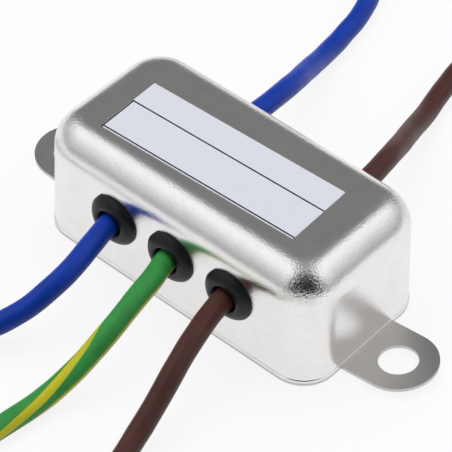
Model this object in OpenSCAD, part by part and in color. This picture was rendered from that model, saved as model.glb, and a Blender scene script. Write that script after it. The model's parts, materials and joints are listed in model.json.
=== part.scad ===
// EMI line filter: a deep-drawn plated steel can on a base plate with two mounting ears,
// three supply leads in at the front, two load leads out at the back, and the filter inside.
// The underside of the base plate is z = 0, the can's long side runs along X, and the
// three-lead side faces -Y.

/* [Can] */
// Length of the drawn can
can_l = 49; // [49:0.5:52]
// Width of the drawn can
can_w = 24.5; // [24.5:0.5:28]
// Height from the underside of the base plate to the top of the can
can_h = 19.3; // [19.3:0.1:24]
// Plan radius of the can's upright corners
can_r = 6.3; // [6:0.1:6.6]
// Radius drawn round the edge of the top
crown_r = 4.9; // [4.4:0.1:5.2]
// Thickness of the can's sheet
can_t = 0.6; // [0.5:0.1:0.7]
// Height of the flared rim at the can's foot
rim_h = 0.4; // [0.3:0.1:0.6]
// How far the rim stands out from the wall
rim_out = 0.15; // [0.1:0.05:0.3]

/* [Base plate] */
// Thickness of the base sheet
plate_t = 0.5; // [0.4:0.1:0.6]
// Distance between the two mounting holes
ear_pitch = 60; // [60:0.5:66]
// Width of each rounded ear
ear_w = 11; // [10:0.5:13]
// Diameter of each mounting hole
ear_hole_d = 5.5; // [4.5:0.1:6]
// Upward set of the right-hand ear, in degrees
ear_set_right = 7; // [1:0.5:9]
// Upward set of the left-hand ear, in degrees
ear_set_left = 2; // [1:0.5:9]

/* [Leads and grommets] */
// Outside diameter of a lead's insulation
lead_d = 3.1; // [2.6:0.1:3.2]
// Diameter of a lead's stranded core
core_d = 1.3; // [1:0.1:1.4]
// Length of core left bare at a lead's far end
strip_l = 6; // [3:0.5:10]
// Distance between neighbouring leads
lead_pitch = 10.3; // [10:0.1:10.6]
// Sideways offset of both rows of leads from the can's middle
lead_offset = 0.4; // [0:0.1:0.5]
// Height of the leads' holes above the base
lead_z = 9.9; // [9.6:0.1:10.2]
// Diameter of a grommet's outer flange
grommet_d = 8.1; // [7.4:0.1:8.8]
// How far a grommet's domed flange stands out
grommet_out = 1.25; // [1.1:0.05:1.5]

/* [Label] */
// Length of the label
label_l = 33; // [24:0.5:34]
// Width of the label
label_w = 11.1; // [8:0.1:11.5]
// Thickness of the label
label_t = 0.1; // [0.05:0.01:0.2]
// Turn of the label on the can, in degrees
label_turn = 1.9; // [0:0.1:2]

/* [Filter inside] */
// Outer diameter of the choke's ring core
ring_od = 15; // [14:0.5:15]
// Inner diameter of the choke's ring core
ring_id = 8; // [8:0.1:8.6]
// Height of the choke's ring core
ring_h = 7; // [5:0.5:8]
// Diameter of the choke's enamelled wire
wire_d = 1; // [0.8:0.1:1]
// Turns in each of the choke's two windings
turns = 7; // [4:1:7]
// Length of a suppression capacitor across the line
x_cap_l = 13; // [10:0.5:13]
// Width of a suppression capacitor
x_cap_w = 6; // [5:0.5:6]
// Height of a suppression capacitor
x_cap_h = 11; // [8:0.5:13]
// Diameter of a disc capacitor to earth
y_cap_d = 7; // [6:0.5:7]

/* [Hidden] */
$fn = 64;

// Can
inner_l = can_l - 2 * can_t;
inner_w = can_w - 2 * can_t;
rim_r = 5;
hole_d = 6;

// Base plate: it stands a little proud of the can, and each ear bends up clear of the rim
plate_grow = 0.1;
bend_x = can_l / 2 + rim_out + 0.15;

// Grommets
bore_d = lead_d + 0.6;
grommet_round = 0.9;
mouth_d = 5;
mouth_depth = 0.5;
inner_flange_d = 7.6;
inner_flange_end_d = 6.6;
inner_flange_t = 1;
lead_xs = [lead_offset - lead_pitch, lead_offset, lead_offset + lead_pitch];
lead_start = can_w / 2 - 2.35;

// Label
label_at = [-0.55, -1.15];

// Tray and board: the board rests on a ledge inside the tray's wall
fit_gap = 0.15;
tray_l = inner_l - 2 * fit_gap;
tray_w = inner_w - 2 * fit_gap;
tray_r = can_r - can_t - fit_gap;
tray_floor = 0.5;
tray_wall = 0.5;
ledge_w = 0.8;
ledge_z = 2.8;
board_t = 1.2;
board_top = ledge_z + board_t;
tray_top = board_top + 0.6;

// Wires that pass through the board
pin_end = 1.8;
pin_play = 0.1;
solder_end = 1.9;
x_pin_d = 0.8;
thin_pin_d = 0.6;
core_bend = 1;
core_down = lead_start - 2.2;

// Parts on the board
x_cap_x = 16.5;
x_pin_y = 5;
x_cap_edge = 0.4;
y_cap_x = 11.4;
y_cap_t = 3.2;
y_cap_lift = 0.8;
y_pin_y = 2.5;
y_cap_z = board_top + y_cap_lift + y_cap_d / 2;
resistor_x = -21.4;
resistor_d = 2.4;
resistor_l = 6.5;
resistor_z = board_top + 1.4;
resistor_pin_y = 5;
resistor_bend = 1;

// Choke: each winding covers one side of the ring and has its wire a little off the core
ring_edge = 0.6;
wire_gap = 0.04;
wire_off = wire_d / 2 + wire_gap;
ring_z = board_top + wire_off + wire_d / 2;
winding_start = 17.5;
winding_sector = 145;
corner_steps = 3;
wire_sides = 8;
divider_t = 0.8;
divider_rise = 0.6;

// Earth tag: an upright strip with its foot on the base plate, in a notch of the board
tag_t = 0.5;
tag_w = 4;
tag_y = lead_start - 0.1;
tag_foot = 1.6;
tag_top = lead_z + 2;
tag_bend = 0.4;
notch_w = tag_w + 2;
notch_y = tag_y - tag_t - 0.3;

// Route of each lead's middle line, from inside the can to where its insulation ends. The
// first two points lie on the axis of its grommet, and it then drops to the surface that
// the base stands on.
floor_z = lead_d / 2;
line_in_route = concat(through_wall(lead_xs[2], -1), [
    [11.4, -17.5, 9.8], [12.2, -21.5, 9.2], [12.9, -25.5, 7.6], [13.5, -30, 5],
    [14.3, -35.5, 2.5], [16, -42, 1.6], [20, -48.1, floor_z],
    [26.2, -52.1, floor_z], [33.5, -53, floor_z], [40.5, -50.8, floor_z],
    [45.9, -45.9, floor_z], [48.7, -39.1, floor_z], [48.4, -31.7, floor_z],
    [45.4, -25.6, floor_z]]);
neutral_in_route = concat(through_wall(lead_xs[0], -1), [
    [-9.2, -17, 9.8], [-8.6, -21, 9.2], [-8.9, -25, 7.8], [-10.6, -29.5, 5.2],
    [-14, -34.5, 2.8], [-19.5, -39, 1.6], [-26, -42, floor_z],
    [-33, -42.5, floor_z], [-40, -40, floor_z], [-45.5, -35, floor_z],
    [-49, -28.5, floor_z], [-50, -21.5, floor_z], [-49, -15, floor_z],
    [-46.5, -10.5, floor_z]]);
earth_route = concat(through_wall(lead_xs[1], -1), [
    [1.3, -17, 9.8], [1.8, -21, 9.2], [1.9, -26, 7.3], [1.3, -31, 4.5],
    [0.4, -36.5, 2.4], [-0.8, -43, 1.6], [-1.5, -49.5, floor_z],
    [0, -56.1, floor_z], [4, -61.4, floor_z], [10, -64.5, floor_z],
    [16.7, -64.8, floor_z], [23.6, -63.3, floor_z], [30.5, -61.2, floor_z],
    [37.5, -59.2, floor_z]]);
line_out_route = concat(through_wall(lead_xs[2], 1), [
    [10.5, 17.5, 9.8], [9.5, 22.5, 9], [7.6, 28, 6.6], [5.3, 34, 3.9],
    [3.6, 39.5, 2.1], [1.9, 46, 1.6], [1, 52, floor_z], [2.5, 58.6, floor_z],
    [6.5, 63.9, floor_z], [12.5, 67, floor_z], [19.2, 67.3, floor_z],
    [25.4, 64.7, floor_z], [29.9, 59.8, floor_z], [31.9, 53.4, floor_z],
    [31.5, 48, floor_z]]);
neutral_out_route = concat(through_wall(lead_xs[0], 1), [
    [-9.6, 17.5, 9.8], [-10.1, 22, 9.1], [-11.3, 27, 7.5], [-13.2, 32, 5.1],
    [-15, 37.5, 2.8], [-16.4, 43.5, 1.6], [-17.8, 50.5, floor_z],
    [-20.5, 56.5, floor_z], [-25.5, 61, floor_z], [-31.9, 62.9, floor_z],
    [-38.6, 61.9, floor_z], [-44.1, 58.2, floor_z], [-47.7, 52.4, floor_z],
    [-48.4, 45.8, floor_z], [-47, 40.8, floor_z]]);

// A lead's first two points, on the axis of its hole: side -1 is the front wall
function through_wall(x, side) = [
    [x, side * lead_start, lead_z], [x, side * (can_w / 2 + 0.95), lead_z]
];

// Where wires pass through the board: x, y and the wire's diameter
function wire_holes() = [
    for (x = [-x_cap_x, x_cap_x], y = [-x_pin_y, x_pin_y]) [x, y, x_pin_d],
    for (x = [-y_cap_x, y_cap_x], y = [-y_pin_y, y_pin_y]) [x, y, thin_pin_d],
    for (y = [-resistor_pin_y, resistor_pin_y]) [resistor_x, y, thin_pin_d],
    for (x = [lead_xs[0], lead_xs[2]], y = [-core_down, core_down]) [x, y, core_d],
    for (turn = [0, 180]) each [
        let (p = around(winding_r(0), winding_start + turn, 0)) [p.x, p.y, wire_d],
        let (p = around(winding_r(1), winding_start + winding_sector + turn, 0))
            [p.x, p.y, wire_d]
    ]
];

// ---- Tubes along a route ----

function unit(v) = v / norm(v);

// Direction of travel at point i of a route
function heading(route, i) =
    i == 0 ? unit(route[1] - route[0])
    : i == len(route) - 1 ? unit(route[i] - route[i - 1])
    : unit(unit(route[i + 1] - route[i]) + unit(route[i] - route[i - 1]));

// A ring of points round a centre, square to the direction of travel, with a flat side
// towards the given reference direction
function ring_points(centre, along, side, r, sides) =
    let (u = unit(side - (side * along) * along), v = cross(along, u))
    [for (k = [0 : sides - 1])
        let (a = 360 * (k + 0.5) / sides) centre + r * (cos(a) * u + sin(a) * v)];

// Triangles that join ring i to the next one
function band(i, sides) = [
    for (k = [0 : sides - 1])
        let (a = i * sides + k, b = i * sides + (k + 1) % sides)
        each [[a, a + sides, b], [b, a + sides, b + sides]]
];

// A closed tube along a route, with one reference direction for each of its points
module tube(route, references, d, sides) {
    last = len(route) - 1;
    points = [
        for (i = [0 : last])
            each ring_points(route[i], heading(route, i), references[i], d / 2, sides)
    ];
    start_cap = [for (k = [0 : sides - 1]) k];
    end_cap = [for (k = [sides - 1 : -1 : 0]) last * sides + k];
    skin = [for (i = [0 : last - 1]) each band(i, sides)];
    polyhedron(points, concat([start_cap], skin, [end_cap]));
}

// ---- Shapes used more than once ----

// A rectangle with round corners
module rounded_plan(l, w, r) {
    square([l - 2 * r, w], center = true);
    square([l, w - 2 * r], center = true);
    for (x = [-1, 1], y = [-1, 1])
        translate([x * (l / 2 - r), y * (w / 2 - r)])
            circle(r);
}

// A quarter of a disc, in the corner where both coordinates are positive
module quarter_disc(r) {
    intersection() {
        circle(r);
        square(r);
    }
}

// Places its children in the front wall for side -1 and in the rear wall for side 1
module at_wall(side) {
    mirror([0, side < 0 ? 1 : 0, 0])
        children();
}

// A wire along +Y that bends down through a quarter circle
module bent_wire(d, straight, bend_r, drop) {
    rotate([-90, 0, 0])
        cylinder(d = d, h = straight);
    translate([0, straight, -bend_r]) {
        rotate([0, -90, 0])
            rotate_extrude(angle = 90)
                translate([bend_r, 0])
                    circle(d = d);
        translate([0, bend_r, -drop])
            cylinder(d = d, h = drop);
    }
}

// ---- Drawn can ----

// Section through a drawn edge: flat from the corner's middle, then a quarter circle
module edge_section(r, edge_r) {
    square([r - edge_r, edge_r]);
    translate([r - edge_r, 0])
        quarter_disc(edge_r);
}

module straight_edge(l, r, edge_r) {
    rotate([90, 0, 0])
        linear_extrude(l, center = true)
            edge_section(r, edge_r);
}

// A block with rounded upright corners and a drawn edge round its top
module drawn_block(l, w, h, r, edge_r) {
    linear_extrude(h - edge_r)
        rounded_plan(l, w, r);
    translate([0, 0, h - edge_r]) {
        linear_extrude(edge_r)
            square([l - 2 * r, w - 2 * r], center = true);
        for (turn = [0, 180]) {
            rotate(turn)
                translate([l / 2 - r, 0])
                    straight_edge(w - 2 * r, r, edge_r);
            rotate(turn + 90)
                translate([w / 2 - r, 0])
                    straight_edge(l - 2 * r, r, edge_r);
        }
        for (x = [0, 1], y = [0, 1])
            mirror([x, 0, 0])
                mirror([0, y, 0])
                    translate([l / 2 - r, w / 2 - r])
                        rotate_extrude(angle = 90)
                            edge_section(r, edge_r);
    }
}

module lead_hole(x, side) {
    at_wall(side)
        translate([x, can_w / 2 - 2 * can_t, lead_z])
            rotate([-90, 0, 0])
                cylinder(d = hole_d, h = 4 * can_t);
}

module drawn_can() {
    color("gainsboro")
        difference() {
            translate([0, 0, plate_t]) {
                drawn_block(can_l, can_w, can_h - plate_t, can_r, crown_r);
                linear_extrude(rim_h)
                    rounded_plan(can_l + 2 * rim_out, can_w + 2 * rim_out, rim_r);
            }
            translate([0, 0, -plate_t])
                drawn_block(inner_l, inner_w, can_h + plate_t - can_t,
                    can_r - can_t, crown_r - can_t);
            for (x = lead_xs)
                lead_hole(x, -1);
            for (x = [lead_xs[0], lead_xs[2]])
                lead_hole(x, 1);
        }
}

// ---- Base plate ----

// Side view of the sheet: flat under the can, with each ear bent up just outside the rim
module sheet_profile() {
    tip_x = ear_pitch / 2 + ear_w;
    run = tip_x - bend_x;
    polygon([
        [-tip_x, run * tan(ear_set_left)], [-bend_x, 0],
        [bend_x, 0], [tip_x, run * tan(ear_set_right)],
        [tip_x, run * tan(ear_set_right) + plate_t / cos(ear_set_right)],
        [bend_x - plate_t * tan(ear_set_right / 2), plate_t],
        [-bend_x + plate_t * tan(ear_set_left / 2), plate_t],
        [-tip_x, run * tan(ear_set_left) + plate_t / cos(ear_set_left)]
    ]);
}

// The stamped outline: round corners under the can, and a round-ended ear at each end
module plate_outline() {
    rounded_plan(can_l + 2 * plate_grow, can_w + 2 * plate_grow, rim_r + plate_grow);
    square([ear_pitch, ear_w], center = true);
    for (x = [-1, 1])
        translate([x * ear_pitch / 2, 0])
            circle(d = ear_w);
}

module base_plate() {
    color("silver")
        difference() {
            intersection() {
                translate([0, 0, -plate_t])
                    linear_extrude(ear_w)
                        plate_outline();
                rotate([90, 0, 0])
                    linear_extrude(2 * can_w, center = true)
                        sheet_profile();
            }
            for (x = [-1, 1])
                translate([x * ear_pitch / 2, 0, -plate_t])
                    cylinder(d = ear_hole_d, h = ear_w / 2);
        }
}

// ---- Label ----

module label() {
    color("aliceblue")
        translate([label_at.x, label_at.y, can_h])
            rotate(label_turn)
                translate([0, 0, label_t / 2])
                    cube([label_l, label_w, label_t], center = true);
}

// ---- Grommets ----

// Half section of the outer flange, with its edge rounded over
module flange_section() {
    round_at = grommet_d / 2 - grommet_round;
    square([round_at, grommet_out]);
    square([grommet_d / 2, grommet_out - grommet_round]);
    translate([round_at, grommet_out - grommet_round])
        quarter_disc(grommet_round);
}

// A grommet along +Z, with the wall's outer face at z = 0
module grommet_body() {
    difference() {
        union() {
            rotate_extrude()
                flange_section();
            translate([0, 0, -can_t - inner_flange_t])
                cylinder(d = hole_d, h = can_t + inner_flange_t + grommet_out / 2);
            translate([0, 0, -can_t - inner_flange_t])
                cylinder(d1 = inner_flange_end_d, d2 = inner_flange_d, h = inner_flange_t);
        }
        cylinder(d = bore_d, h = can_w / 2, center = true);
        translate([0, 0, grommet_out - mouth_depth])
            cylinder(d1 = bore_d, d2 = 2 * mouth_d - bore_d, h = 2 * mouth_depth);
    }
}

module grommet(x, side) {
    color("dimgray")
        at_wall(side)
            translate([x, can_w / 2, lead_z])
                rotate([-90, 0, 0])
                    grommet_body();
}

module grommet_line_in() {
    grommet(lead_xs[2], -1);
}

module grommet_neutral_in() {
    grommet(lead_xs[0], -1);
}

module grommet_earth() {
    grommet(lead_xs[1], -1);
}

module grommet_line_out() {
    grommet(lead_xs[2], 1);
}

module grommet_neutral_out() {
    grommet(lead_xs[0], 1);
}

// ---- Leads ----

// A lead's insulation, from inside the can to where it is stripped
module insulation(route) {
    tube(route, [for (p = route) [0, 0, 1]], lead_d, wire_sides);
}

// The stripped and tinned end of a lead
module lead_tip(route) {
    last = len(route) - 1;
    along = heading(route, last);
    color("silver")
        translate(route[last])
            rotate([0, 90, atan2(along.y, along.x)])
                cylinder(d = core_d, h = strip_l);
}

module lead_line_in() {
    color("saddlebrown")
        insulation(line_in_route);
}

module lead_neutral_in() {
    color("mediumblue")
        insulation(neutral_in_route);
}

module lead_earth() {
    color("yellowgreen")
        insulation(earth_route);
}

module lead_line_out() {
    color("saddlebrown")
        insulation(line_out_route);
}

module lead_neutral_out() {
    color("mediumblue")
        insulation(neutral_out_route);
}

module lead_tip_line_in() {
    lead_tip(line_in_route);
}

module lead_tip_neutral_in() {
    lead_tip(neutral_in_route);
}

module lead_tip_earth() {
    lead_tip(earth_route);
}

module lead_tip_line_out() {
    lead_tip(line_out_route);
}

module lead_tip_neutral_out() {
    lead_tip(neutral_out_route);
}

// ---- Bare cores inside the can ----

// A lead's core runs on from its insulation and bends down into the board
module board_core(x, side) {
    color("peru")
        at_wall(side)
            translate([x, lead_start, lead_z])
                mirror([0, 1, 0])
                    bent_wire(core_d, lead_start - core_down - core_bend, core_bend,
                        lead_z - core_bend - pin_end);
}

module core_line_in() {
    board_core(lead_xs[2], -1);
}

module core_neutral_in() {
    board_core(lead_xs[0], -1);
}

module core_line_out() {
    board_core(lead_xs[2], 1);
}

module core_neutral_out() {
    board_core(lead_xs[0], 1);
}

// The earth lead's core goes straight into the hole of the earth tag
module core_earth() {
    color("peru")
        translate([lead_xs[1], -lead_start, lead_z])
            rotate([-90, 0, 0])
                cylinder(d = core_d, h = 0.4 + tag_t);
}

// ---- Tray, board and earth tag ----

// Room for the earth tag at the front edge of the tray and the board
module tag_notch() {
    translate([lead_xs[1] - notch_w / 2, -can_w, -plate_t])
        cube([notch_w, can_w - notch_y, can_h]);
}

module insulating_tray() {
    color("ivory")
        difference() {
            translate([0, 0, plate_t])
                linear_extrude(tray_top - plate_t)
                    rounded_plan(tray_l, tray_w, tray_r);
            translate([0, 0, plate_t + tray_floor])
                linear_extrude(tray_top)
                    rounded_plan(tray_l - 2 * (tray_wall + ledge_w),
                        tray_w - 2 * (tray_wall + ledge_w), tray_r - tray_wall - ledge_w);
            translate([0, 0, ledge_z])
                linear_extrude(tray_top)
                    rounded_plan(tray_l - 2 * tray_wall, tray_w - 2 * tray_wall,
                        tray_r - tray_wall);
            tag_notch();
        }
}

module circuit_board() {
    edge_in = tray_wall + fit_gap;
    color("olivedrab")
        difference() {
            translate([0, 0, ledge_z])
                linear_extrude(board_t)
                    rounded_plan(tray_l - 2 * edge_in, tray_w - 2 * edge_in,
                        tray_r - edge_in);
            tag_notch();
            for (hole = wire_holes())
                translate([hole.x, hole.y, 0])
                    cylinder(d = hole.z + pin_play, h = can_h);
        }
}

module earth_tag() {
    color("silver")
        difference() {
            translate([lead_xs[1], -tag_y, plate_t]) {
                translate([-tag_w / 2, 0, 0])
                    cube([tag_w, tag_t, tag_top - plate_t]);
                translate([-tag_w / 2, -tag_foot, 0])
                    cube([tag_w, tag_foot, tag_t]);
                translate([0, -tag_bend, tag_t])
                    rotate([0, 90, 0])
                        linear_extrude(tag_w, center = true)
                            difference() {
                                translate([-tag_bend, 0])
                                    square(tag_bend);
                                translate([-tag_bend, 0])
                                    circle(tag_bend);
                            }
            }
            translate([lead_xs[1], -tag_y - tag_t, lead_z])
                rotate([-90, 0, 0])
                    cylinder(d = core_d, h = 3 * tag_t);
        }
}

// ---- Common-mode choke ----

// Middle of the wire outside the ring for side 0, and in its bore for side 1
function winding_r(side) =
    side == 0 ? ring_od / 2 + wire_off : ring_id / 2 - wire_off;

function around(r, a, z) = [r * cos(a), r * sin(a), z];

// One turn's path over the ring's section, as radius and height, from the outer lower
// corner up the outside, over the top, down the bore and out again
function turn_path() =
    let (r = ring_edge + wire_off, inner = ring_id / 2 + ring_edge,
        outer = ring_od / 2 - ring_edge, low = ring_z + ring_edge,
        high = ring_z + ring_h - ring_edge,
        corners = [[outer, low, -90], [outer, high, 0], [inner, high, 90], [inner, low, 180]])
    [for (c = corners, k = [0 : corner_steps])
        let (a = c.z + 90 * k / corner_steps) [c.x + r * cos(a), c.y + r * sin(a)]];

// Points of a winding with their angle round the ring: it starts up the outside from a leg
// in the board, and ends down the bore in another
function winding_points(start) =
    let (path = turn_path(), n = len(path), first = corner_steps + 1,
        count = turns * n - 2 * first)
    [for (i = [0 : count - 1])
        let (p = path[(i + first) % n]) [p.x, p.y, start + winding_sector * i / (count - 1)]];

function with_legs(p) = concat([[p[0].x, pin_end, p[0].z]], p,
    [[p[len(p) - 1].x, pin_end, p[len(p) - 1].z]]);

module choke_winding(start) {
    path = with_legs(winding_points(start));
    tube([for (p = path) around(p.x, p.z, p.y)], [for (p = path) around(1, p.z + 90, 0)],
        wire_d, wire_sides);
}

module choke_winding_line() {
    color("chocolate")
        choke_winding(winding_start);
}

module choke_winding_neutral() {
    color("chocolate")
        choke_winding(winding_start + 180);
}

module choke_ring() {
    ring_w = (ring_od - ring_id) / 2;
    color("darkslategray")
        translate([0, 0, ring_z + ring_h / 2])
            rotate_extrude()
                translate([ring_id / 2 + ring_w / 2, 0])
                    rounded_plan(ring_w, ring_h, ring_edge);
}

// Insulating plate that stands across the ring's bore, between the windings
module choke_divider() {
    divider_l = ring_id - 0.1;
    divider_h = ring_z + ring_h + divider_rise - board_top;
    color("ivory")
        translate([-divider_l / 2, -divider_t / 2, board_top])
            cube([divider_l, divider_t, divider_h]);
}

// ---- Capacitors and resistor ----

module x_capacitor(x) {
    color("gold")
        translate([x, 0, board_top])
            linear_extrude(x_cap_h)
                rounded_plan(x_cap_w, x_cap_l, x_cap_edge);
}

module x_capacitor_in() {
    x_capacitor(-x_cap_x);
}

module x_capacitor_out() {
    x_capacitor(x_cap_x);
}

module x_capacitor_pins() {
    color("silver")
        for (x = [-x_cap_x, x_cap_x], y = [-x_pin_y, x_pin_y])
            translate([x, y, pin_end])
                cylinder(d = x_pin_d, h = board_top - pin_end);
}

// Half section of a dipped disc: distance from its axis, and along the axis
module disc_section() {
    round_r = y_cap_t / 2 - 0.4;
    intersection() {
        translate([0, -y_cap_t / 2])
            square([y_cap_d / 2, y_cap_t]);
        rounded_plan(y_cap_d, y_cap_t, round_r);
    }
}

module y_capacitor_body(x) {
    translate([x, 0, y_cap_z])
        rotate([0, 90, 0])
            rotate_extrude()
                disc_section();
}

module y_capacitor_line() {
    color("steelblue")
        y_capacitor_body(y_cap_x);
}

module y_capacitor_neutral() {
    color("steelblue")
        y_capacitor_body(-y_cap_x);
}

module y_capacitor_pins() {
    color("silver")
        difference() {
            for (x = [-y_cap_x, y_cap_x], y = [-y_pin_y, y_pin_y])
                translate([x, y, pin_end])
                    cylinder(d = thin_pin_d, h = y_cap_z - pin_end);
            y_capacitor_body(-y_cap_x);
            y_capacitor_body(y_cap_x);
        }
}

module bleed_resistor() {
    end_r = 0.5;
    color("tan")
        translate([resistor_x, 0, resistor_z])
            rotate([-90, 0, 0])
                rotate_extrude()
                    intersection() {
                        translate([0, -resistor_l / 2])
                            square([resistor_d / 2, resistor_l]);
                        rounded_plan(resistor_d, resistor_l, end_r);
                    }
}

module resistor_wires() {
    straight = resistor_pin_y - resistor_l / 2 - resistor_bend;
    color("silver")
        for (side = [-1, 1])
            at_wall(side)
                translate([resistor_x, resistor_l / 2, resistor_z])
                    bent_wire(thin_pin_d, straight, resistor_bend,
                        resistor_z - resistor_bend - pin_end);
}

// Cones of solder round the wires, under the board
module solder_joints() {
    color("silver")
        difference() {
            for (hole = wire_holes())
                translate([hole.x, hole.y, solder_end])
                    cylinder(d1 = hole.z + 0.3, d2 = hole.z + 1, h = ledge_z - solder_end);
            for (hole = wire_holes())
                translate([hole.x, hole.y, 0])
                    cylinder(d = hole.z, h = board_top);
        }
}

drawn_can();
base_plate();
label();
grommet_line_in();
grommet_neutral_in();
grommet_earth();
grommet_line_out();
grommet_neutral_out();
lead_line_in();
lead_neutral_in();
lead_earth();
lead_line_out();
lead_neutral_out();
lead_tip_line_in();
lead_tip_neutral_in();
lead_tip_earth();
lead_tip_line_out();
lead_tip_neutral_out();
core_line_in();
core_neutral_in();
core_earth();
core_line_out();
core_neutral_out();
insulating_tray();
circuit_board();
earth_tag();
choke_ring();
choke_winding_line();
choke_winding_neutral();
choke_divider();
x_capacitor_in();
x_capacitor_out();
x_capacitor_pins();
y_capacitor_line();
y_capacitor_neutral();
y_capacitor_pins();
bleed_resistor();
resistor_wires();
solder_joints();
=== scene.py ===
"""Dresses the packed EMI line filter: a deep-drawn plated can on a stamped base plate,
five free leads in rubber grommets, a bare label on top, and the filter inside."""

import json
from math import cos, pi, radians, sin, tan

import bmesh
import bpy
from bpy.props import FloatProperty, FloatVectorProperty, IntProperty, PointerProperty
from mathutils import Matrix, Vector


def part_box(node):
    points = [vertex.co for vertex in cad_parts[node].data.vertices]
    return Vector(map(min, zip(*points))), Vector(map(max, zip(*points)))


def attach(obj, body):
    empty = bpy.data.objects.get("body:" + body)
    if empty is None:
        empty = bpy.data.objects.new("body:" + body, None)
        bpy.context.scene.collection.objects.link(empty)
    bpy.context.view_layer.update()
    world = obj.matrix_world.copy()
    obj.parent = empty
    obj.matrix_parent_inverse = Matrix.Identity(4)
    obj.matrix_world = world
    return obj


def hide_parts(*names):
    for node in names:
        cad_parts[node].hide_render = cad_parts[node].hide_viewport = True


bl_info = {
    "name": "EMI line filter",
    "version": (1, 0, 0),
    "blender": (4, 5, 0),
    "location": "View3D > Sidebar > Filter",
    "description": "Builds the finished look of a mains line filter round its CAD frame",
    "category": "Add Mesh",
}

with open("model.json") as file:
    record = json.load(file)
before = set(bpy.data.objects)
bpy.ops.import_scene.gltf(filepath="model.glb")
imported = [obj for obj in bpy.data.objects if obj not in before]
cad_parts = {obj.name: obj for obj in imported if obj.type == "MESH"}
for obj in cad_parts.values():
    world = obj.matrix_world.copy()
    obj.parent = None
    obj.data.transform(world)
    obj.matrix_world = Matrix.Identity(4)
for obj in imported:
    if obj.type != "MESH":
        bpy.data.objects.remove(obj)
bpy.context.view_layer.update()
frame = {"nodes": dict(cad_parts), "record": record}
MM = 0.001

# The height in millimetres of a lead's centre line where it lies on the table
LYING = 1.55
# Each lead's way in millimetres, from the board inside the can, through the wall at the
# second point, to its stripped end. Points without a height lie on the table.
WAYS = {
    "line_in": [
        (10.7, -9.9, 9.9), (10.7, -13.2, 9.9), (11.4, -17.5, 9.8), (12.2, -21.5, 9.2),
        (12.9, -25.5, 7.6), (13.5, -30, 5), (14.3, -35.5, 2.5), (16, -42, 1.6), (20, -48.1),
        (26.2, -52.1), (33.5, -53), (40.5, -50.8), (45.9, -45.9), (48.7, -39.1), (48.4, -31.7),
        (45.4, -25.6),
    ],
    "neutral_in": [
        (-9.9, -9.9, 9.9), (-9.9, -13.2, 9.9), (-9.2, -17, 9.8), (-8.6, -21, 9.2),
        (-8.9, -25, 7.8), (-10.6, -29.5, 5.2), (-14, -34.5, 2.8), (-19.5, -39, 1.6), (-26, -42),
        (-33, -42.5), (-40, -40), (-45.5, -35), (-49, -28.5), (-50, -21.5), (-49, -15),
        (-46.5, -10.5),
    ],
    "earth": [
        (0.4, -9.9, 9.9), (0.4, -13.2, 9.9), (1.3, -17, 9.8), (1.8, -21, 9.2), (1.9, -26, 7.3),
        (1.3, -31, 4.5), (0.4, -36.5, 2.4), (-0.8, -43, 1.6), (-1.5, -49.5), (0, -56.1),
        (4, -61.4), (10, -64.5), (16.7, -64.8), (23.6, -63.3), (30.5, -61.2), (37.5, -59.2),
    ],
    "line_out": [
        (10.7, 9.9, 9.9), (10.7, 13.2, 9.9), (10.5, 17.5, 9.8), (9.5, 22.5, 9), (7.6, 28, 6.6),
        (5.3, 34, 3.9), (3.6, 39.5, 2.1), (1.9, 46, 1.6), (1, 52), (2.5, 58.6), (6.5, 63.9),
        (12.5, 67), (19.2, 67.3), (25.4, 64.7), (29.9, 59.8), (31.9, 53.4), (31.5, 48),
    ],
    "neutral_out": [
        (-9.9, 9.9, 9.9), (-9.9, 13.2, 9.9), (-9.6, 17.5, 9.8), (-10.1, 22, 9.1),
        (-11.3, 27, 7.5), (-13.2, 32, 5.1), (-15, 37.5, 2.8), (-16.4, 43.5, 1.6), (-17.8, 50.5),
        (-20.5, 56.5), (-25.5, 61), (-31.9, 62.9), (-38.6, 61.9), (-44.1, 58.2), (-47.7, 52.4),
        (-48.4, 45.8), (-47, 40.8),
    ],
}
ROUTES = {name: [tuple(v * MM for v in (*point, LYING)[:3]) for point in way]
          for name, way in WAYS.items()}
# How far round the earth lead each yellow stripe has drifted: millimetres along it, and the
# angle in degrees from the side that faces up and to the front. The drift is told over
# STRIPE_RUN, and no angle is below STRIPE_LEAST or STRIPE_SPAN or more above it.
STRIPE_RUN = 90
STRIPE_LEAST = -160
STRIPE_SPAN = 640
# That side, as a share of a turn from where the turn round a lead is counted
STRIPE_FACING = 0.3676
STRIPE_DRIFTS = [
    [(0, -160), (10, -154), (16, -100), (17.2, -76), (19.5, -53), (22.3, -38), (27.3, -9),
     (90, 367)],
    [(0, 95), (5, 90), (9, 80), (28, 78), (90, 445)],
]
LEAD_COLOURS = {
    "line_in": "brown", "neutral_in": "blue", "earth": "green_yellow",
    "line_out": "brown", "neutral_out": "blue",
}


def linear(hex_code):
    """An sRGB hex colour as the linear red, green and blue that shaders take."""
    channels = [int(hex_code[i:i + 2], 16) / 255 for i in (1, 3, 5)]
    return [c / 12.92 if c <= 0.04045 else ((c + 0.055) / 1.055) ** 2.4 for c in channels]


def length_prop(label, text, millimetres):
    """A size that a user can change, given in millimetres and kept in metres."""
    return FloatProperty(name=label, description=text, default=millimetres * MM,
                         unit="LENGTH", precision=5, min=0)


def angle_prop(label, text, degrees):
    """An angle that a user can change, given in degrees."""
    return FloatProperty(name=label, description=text, default=radians(degrees),
                         unit="ROTATION")


def share_prop(label, text, value):
    """A plain number without a unit."""
    return FloatProperty(name=label, description=text, default=value, min=0, soft_max=2)


def colour_prop(label, text, hex_code):
    """A colour that a user can change, given as sRGB hex."""
    return FloatVectorProperty(name=label, description=text, subtype="COLOR", size=3,
                               min=0, max=1, default=linear(hex_code))


# ---- Sizes and colours ----

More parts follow.
